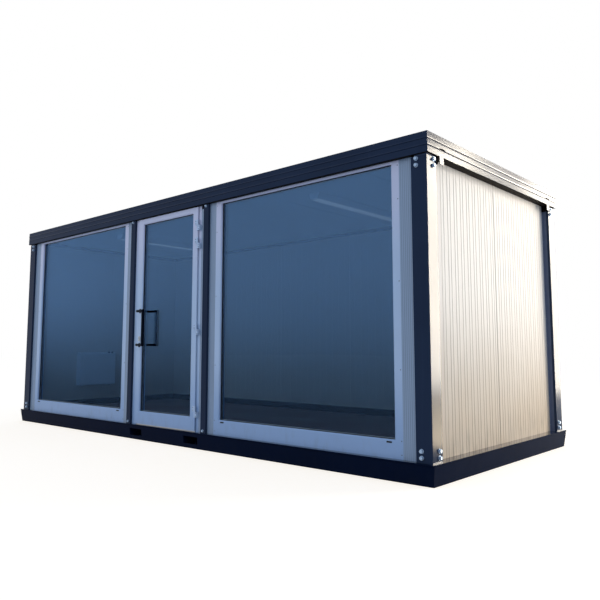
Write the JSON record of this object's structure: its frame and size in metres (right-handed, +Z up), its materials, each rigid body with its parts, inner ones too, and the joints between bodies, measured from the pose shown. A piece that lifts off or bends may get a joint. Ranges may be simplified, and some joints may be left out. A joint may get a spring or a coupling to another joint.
{
  "type": "site cabin",
  "caption": "Box-shaped site cabin on a steel base frame, with a stepped roof edge, grooved panel walls and a glazed front with an outward opening glass door.",
  "frame": {"origin": "on the ground under the middle of the base frame", "axes": "+X along the glazed front to its right as seen from outside, -Y out of the glazed front, +Z up"},
  "size_m": [6.058, 2.474, 2.438],
  "materials": {
    "frame_paint": "satin navy grey paint on folded steel",
    "frame_paint_base": "satin navy grey paint on folded steel, darker and dustier near the ground",
    "bracket_steel": "dark primer",
    "zinc_steel": "galvanised sheet with a fine spangle",
    "floor_vinyl": "speckled dark vinyl floor covering",
    "ceiling_board": "matt white coated sheet",
    "light_housing": "white housing with a frosted cover",
    "wall_sheet": "pale coated steel sheet with pressed grooves",
    "skirting_dark": "dark brown moulded skirting",
    "filler_grey": "finely ribbed blue grey sheet",
    "window_white": "smooth white window profile",
    "window_glass": "clear sealed double glazing with a faint blue tint",
    "heater_enamel": "white enamel",
    "threshold_metal": "mill finish with scuffs",
    "hinge_white": "white coated hinge",
    "handle_black": "satin black coated tube",
    "lock_metal": "brushed plate"
  },
  "bodies": {
    "cabin": {"base_front_beam": "frame_paint_base", "base_back_beam": "frame_paint_base", "base_left_beam": "frame_paint_base", "base_right_beam": "frame_paint_base", "base_corner_brackets": "bracket_steel", "fork_pocket_tubes": "frame_paint_base", "floor_joists": "zinc_steel", "floor_deck": "floor_vinyl", "corner_post_front_left": "frame_paint", "corner_post_front_right": "frame_paint", "corner_post_back_left": "frame_paint", "corner_post_back_right": "frame_paint", "door_post_left": "frame_paint", "door_post_right": "frame_paint", "roof_front_beam": "frame_paint", "roof_back_beam": "frame_paint", "roof_left_beam": "frame_paint", "roof_right_beam": "frame_paint", "roof_corner_brackets": "bracket_steel", "roof_sheet": "zinc_steel", "ceiling_panel": "ceiling_board", "ceiling_lights": "light_housing", "left_wall_panel_front": "wall_sheet", "left_wall_panel_back": "wall_sheet", "right_wall_panel_front": "wall_sheet", "right_wall_panel_back": "wall_sheet", "back_wall_panel_1": "wall_sheet", "back_wall_panel_2": "wall_sheet", "back_wall_panel_3": "wall_sheet", "back_wall_panel_4": "wall_sheet", "back_wall_panel_5": "wall_sheet", "wall_flashings": "frame_paint", "skirting_boards": "skirting_dark", "front_fillers": "filler_grey", "window_left_frame": "window_white", "window_left_glass": "window_glass", "window_right_frame": "window_white", "window_right_glass": "window_glass", "wall_heater": "heater_enamel", "door_frame": "window_white", "door_threshold": "threshold_metal", "hinge_frame_halves": "hinge_white"},
    "door": {"door_leaf": "window_white", "door_glass": "window_glass", "door_handles": "handle_black", "door_lock": "lock_metal", "hinge_leaf_halves": "hinge_white"}
  },
  "joints": [
    {"name": "door_hinge", "type": "hinge", "parent": "cabin", "child": "door", "pos_m": [0.4865, -1.193, 0], "axis": [0, 0, 1], "range_deg": [0, 110]}
  ]
}
